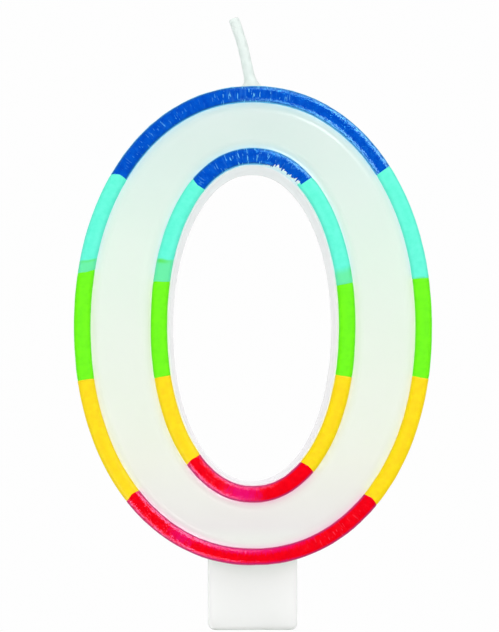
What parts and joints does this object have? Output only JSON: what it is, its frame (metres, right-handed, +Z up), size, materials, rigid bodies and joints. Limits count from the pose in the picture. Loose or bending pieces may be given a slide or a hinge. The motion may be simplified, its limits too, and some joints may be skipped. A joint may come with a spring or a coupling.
{
  "type": "birthday candle",
  "caption": "Cast wax numeral-zero birthday candle with rainbow painted ridges, a braided wick at the top and a stub that pushes into a cake.",
  "frame": {"origin": "level with the stub's foot, in the middle of the candle's width and depth", "axes": "+Z up towards the wick, -Y out of the painted face, +X to the right of the face"},
  "size_m": [0.0482, 0.0088, 0.0825],
  "materials": {
    "white_wax": "satin wax",
    "blue_paint": "glossy wax paint",
    "turquoise_paint": "glossy wax paint",
    "green_paint": "glossy wax paint",
    "yellow_paint": "glossy wax paint",
    "red_paint": "glossy wax paint",
    "wick_cotton": "braided cotton",
    "wick_wax": "thin clear wax"
  },
  "bodies": {
    "root": {"numeral_body": "white_wax", "wick_braid": "wick_cotton", "wick_wax_skin": "wick_wax", "outer_blue_coat": "blue_paint", "outer_red_coat": "red_paint", "outer_left_turquoise_coat": "turquoise_paint", "outer_left_green_coat": "green_paint", "outer_left_yellow_coat": "yellow_paint", "outer_right_turquoise_coat": "turquoise_paint", "outer_right_green_coat": "green_paint", "outer_right_yellow_coat": "yellow_paint", "inner_blue_coat": "blue_paint", "inner_red_coat": "red_paint", "inner_left_turquoise_coat": "turquoise_paint", "inner_left_green_coat": "green_paint", "inner_left_yellow_coat": "yellow_paint", "inner_right_turquoise_coat": "turquoise_paint", "inner_right_green_coat": "green_paint", "inner_right_yellow_coat": "yellow_paint"}
  },
  "joints": []
}
